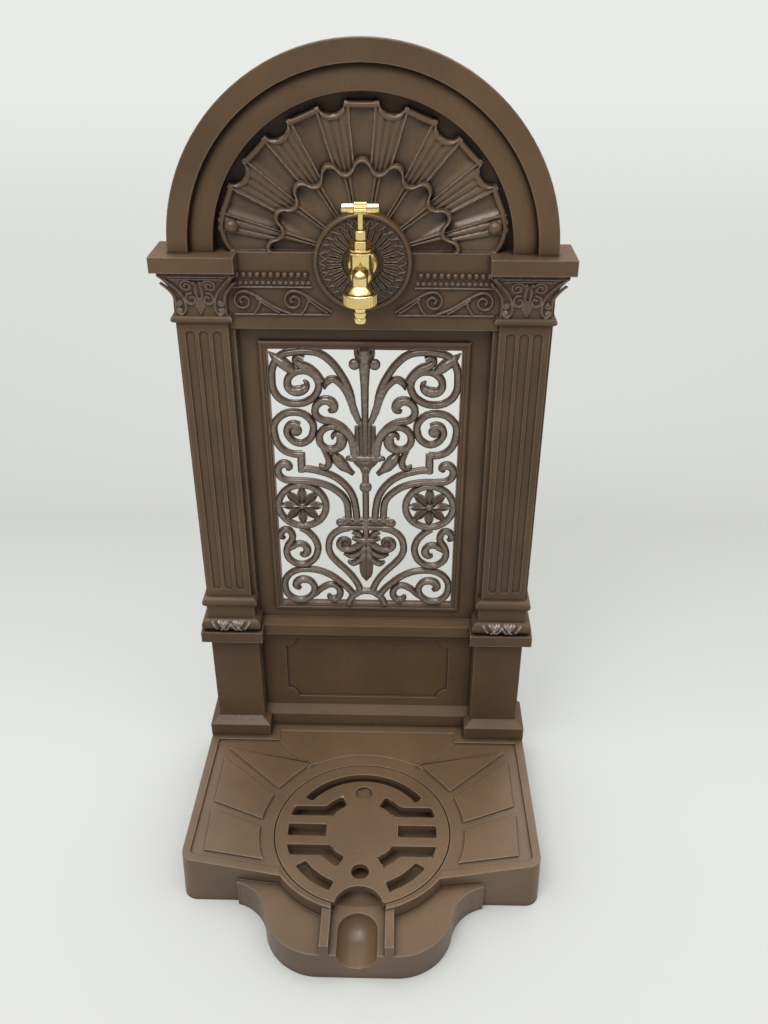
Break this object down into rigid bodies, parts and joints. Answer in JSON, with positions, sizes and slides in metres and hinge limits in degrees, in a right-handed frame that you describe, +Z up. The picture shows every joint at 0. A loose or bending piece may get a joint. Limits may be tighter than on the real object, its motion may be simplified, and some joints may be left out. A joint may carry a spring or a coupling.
{
  "type": "garden fountain",
  "caption": "Standing garden fountain: an arched cast panel with shell niche, pilasters and scroll grille carries a brass bib tap over a basin with a lift-out grate and a front gutter.",
  "frame": {"origin": "centre of the footprint's bounding box, on the ground", "axes": "+X to the right as seen from the front, +Y to the back, +Z up"},
  "size_m": [0.4366, 0.37, 0.9195],
  "materials": {
    "brown_paint": "satin brown paint with a dark wash in the recesses",
    "rosette_paint": "darker, glossier brown paint",
    "brass": "polished brass",
    "steel": "zinc plated",
    "rubber": "matt sealing rubber"
  },
  "bodies": {
    "fountain": {"basin": "brown_paint", "back_panel": "brown_paint", "shell": "brown_paint", "grille": "brown_paint", "grille_studs": "steel", "grille_nuts": "steel", "panel_bolts": "steel", "panel_washers": "steel", "tap_rosette": "rosette_paint", "wall_flange": "brass", "tap_body": "brass", "tap_locknut": "brass", "locknut_washer": "rubber", "bonnet": "brass", "bonnet_washer": "rubber", "gland_nut": "brass", "gland_packing": "rubber"},
    "valve": {"jumper": "brass", "jumper_washer": "rubber"},
    "handle": {"spindle": "brass", "handle_bar": "brass"},
    "tail": {"hose_tail": "brass", "union_washer": "rubber"},
    "nut": {"union_nut": "brass"},
    "grate": {"grate": "brown_paint"}
  },
  "joints": [
    {"name": "jumper_lift", "type": "slide", "parent": "fountain", "child": "valve", "axis": [0, 0, 1], "range_m": [0, 0.004]},
    {"name": "handle_turn", "type": "hinge", "parent": "valve", "child": "handle", "pos_m": [0, 0.098, 0.7765], "axis": [0, 0, 1], "range_deg": [0, 760]},
    {"name": "tail_slide", "type": "slide", "parent": "fountain", "child": "tail", "axis": [0, 0, -1], "range_m": [0, 0.00726]},
    {"name": "union_nut_turn", "type": "hinge", "parent": "tail", "child": "nut", "pos_m": [0, 0.075, 0.695], "axis": [0, 0, -1], "range_deg": [0, 1500]},
    {"name": "grate_lift", "type": "slide", "parent": "fountain", "child": "grate", "axis": [0, 0, 1], "range_m": [0, 0.12]}
  ],
  "couplings": [
    {"joint": "handle_turn", "follows": "jumper_lift", "rad_per_m": 3141.6},
    {"joint": "union_nut_turn", "follows": "tail_slide", "rad_per_m": 3463.7}
  ]
}
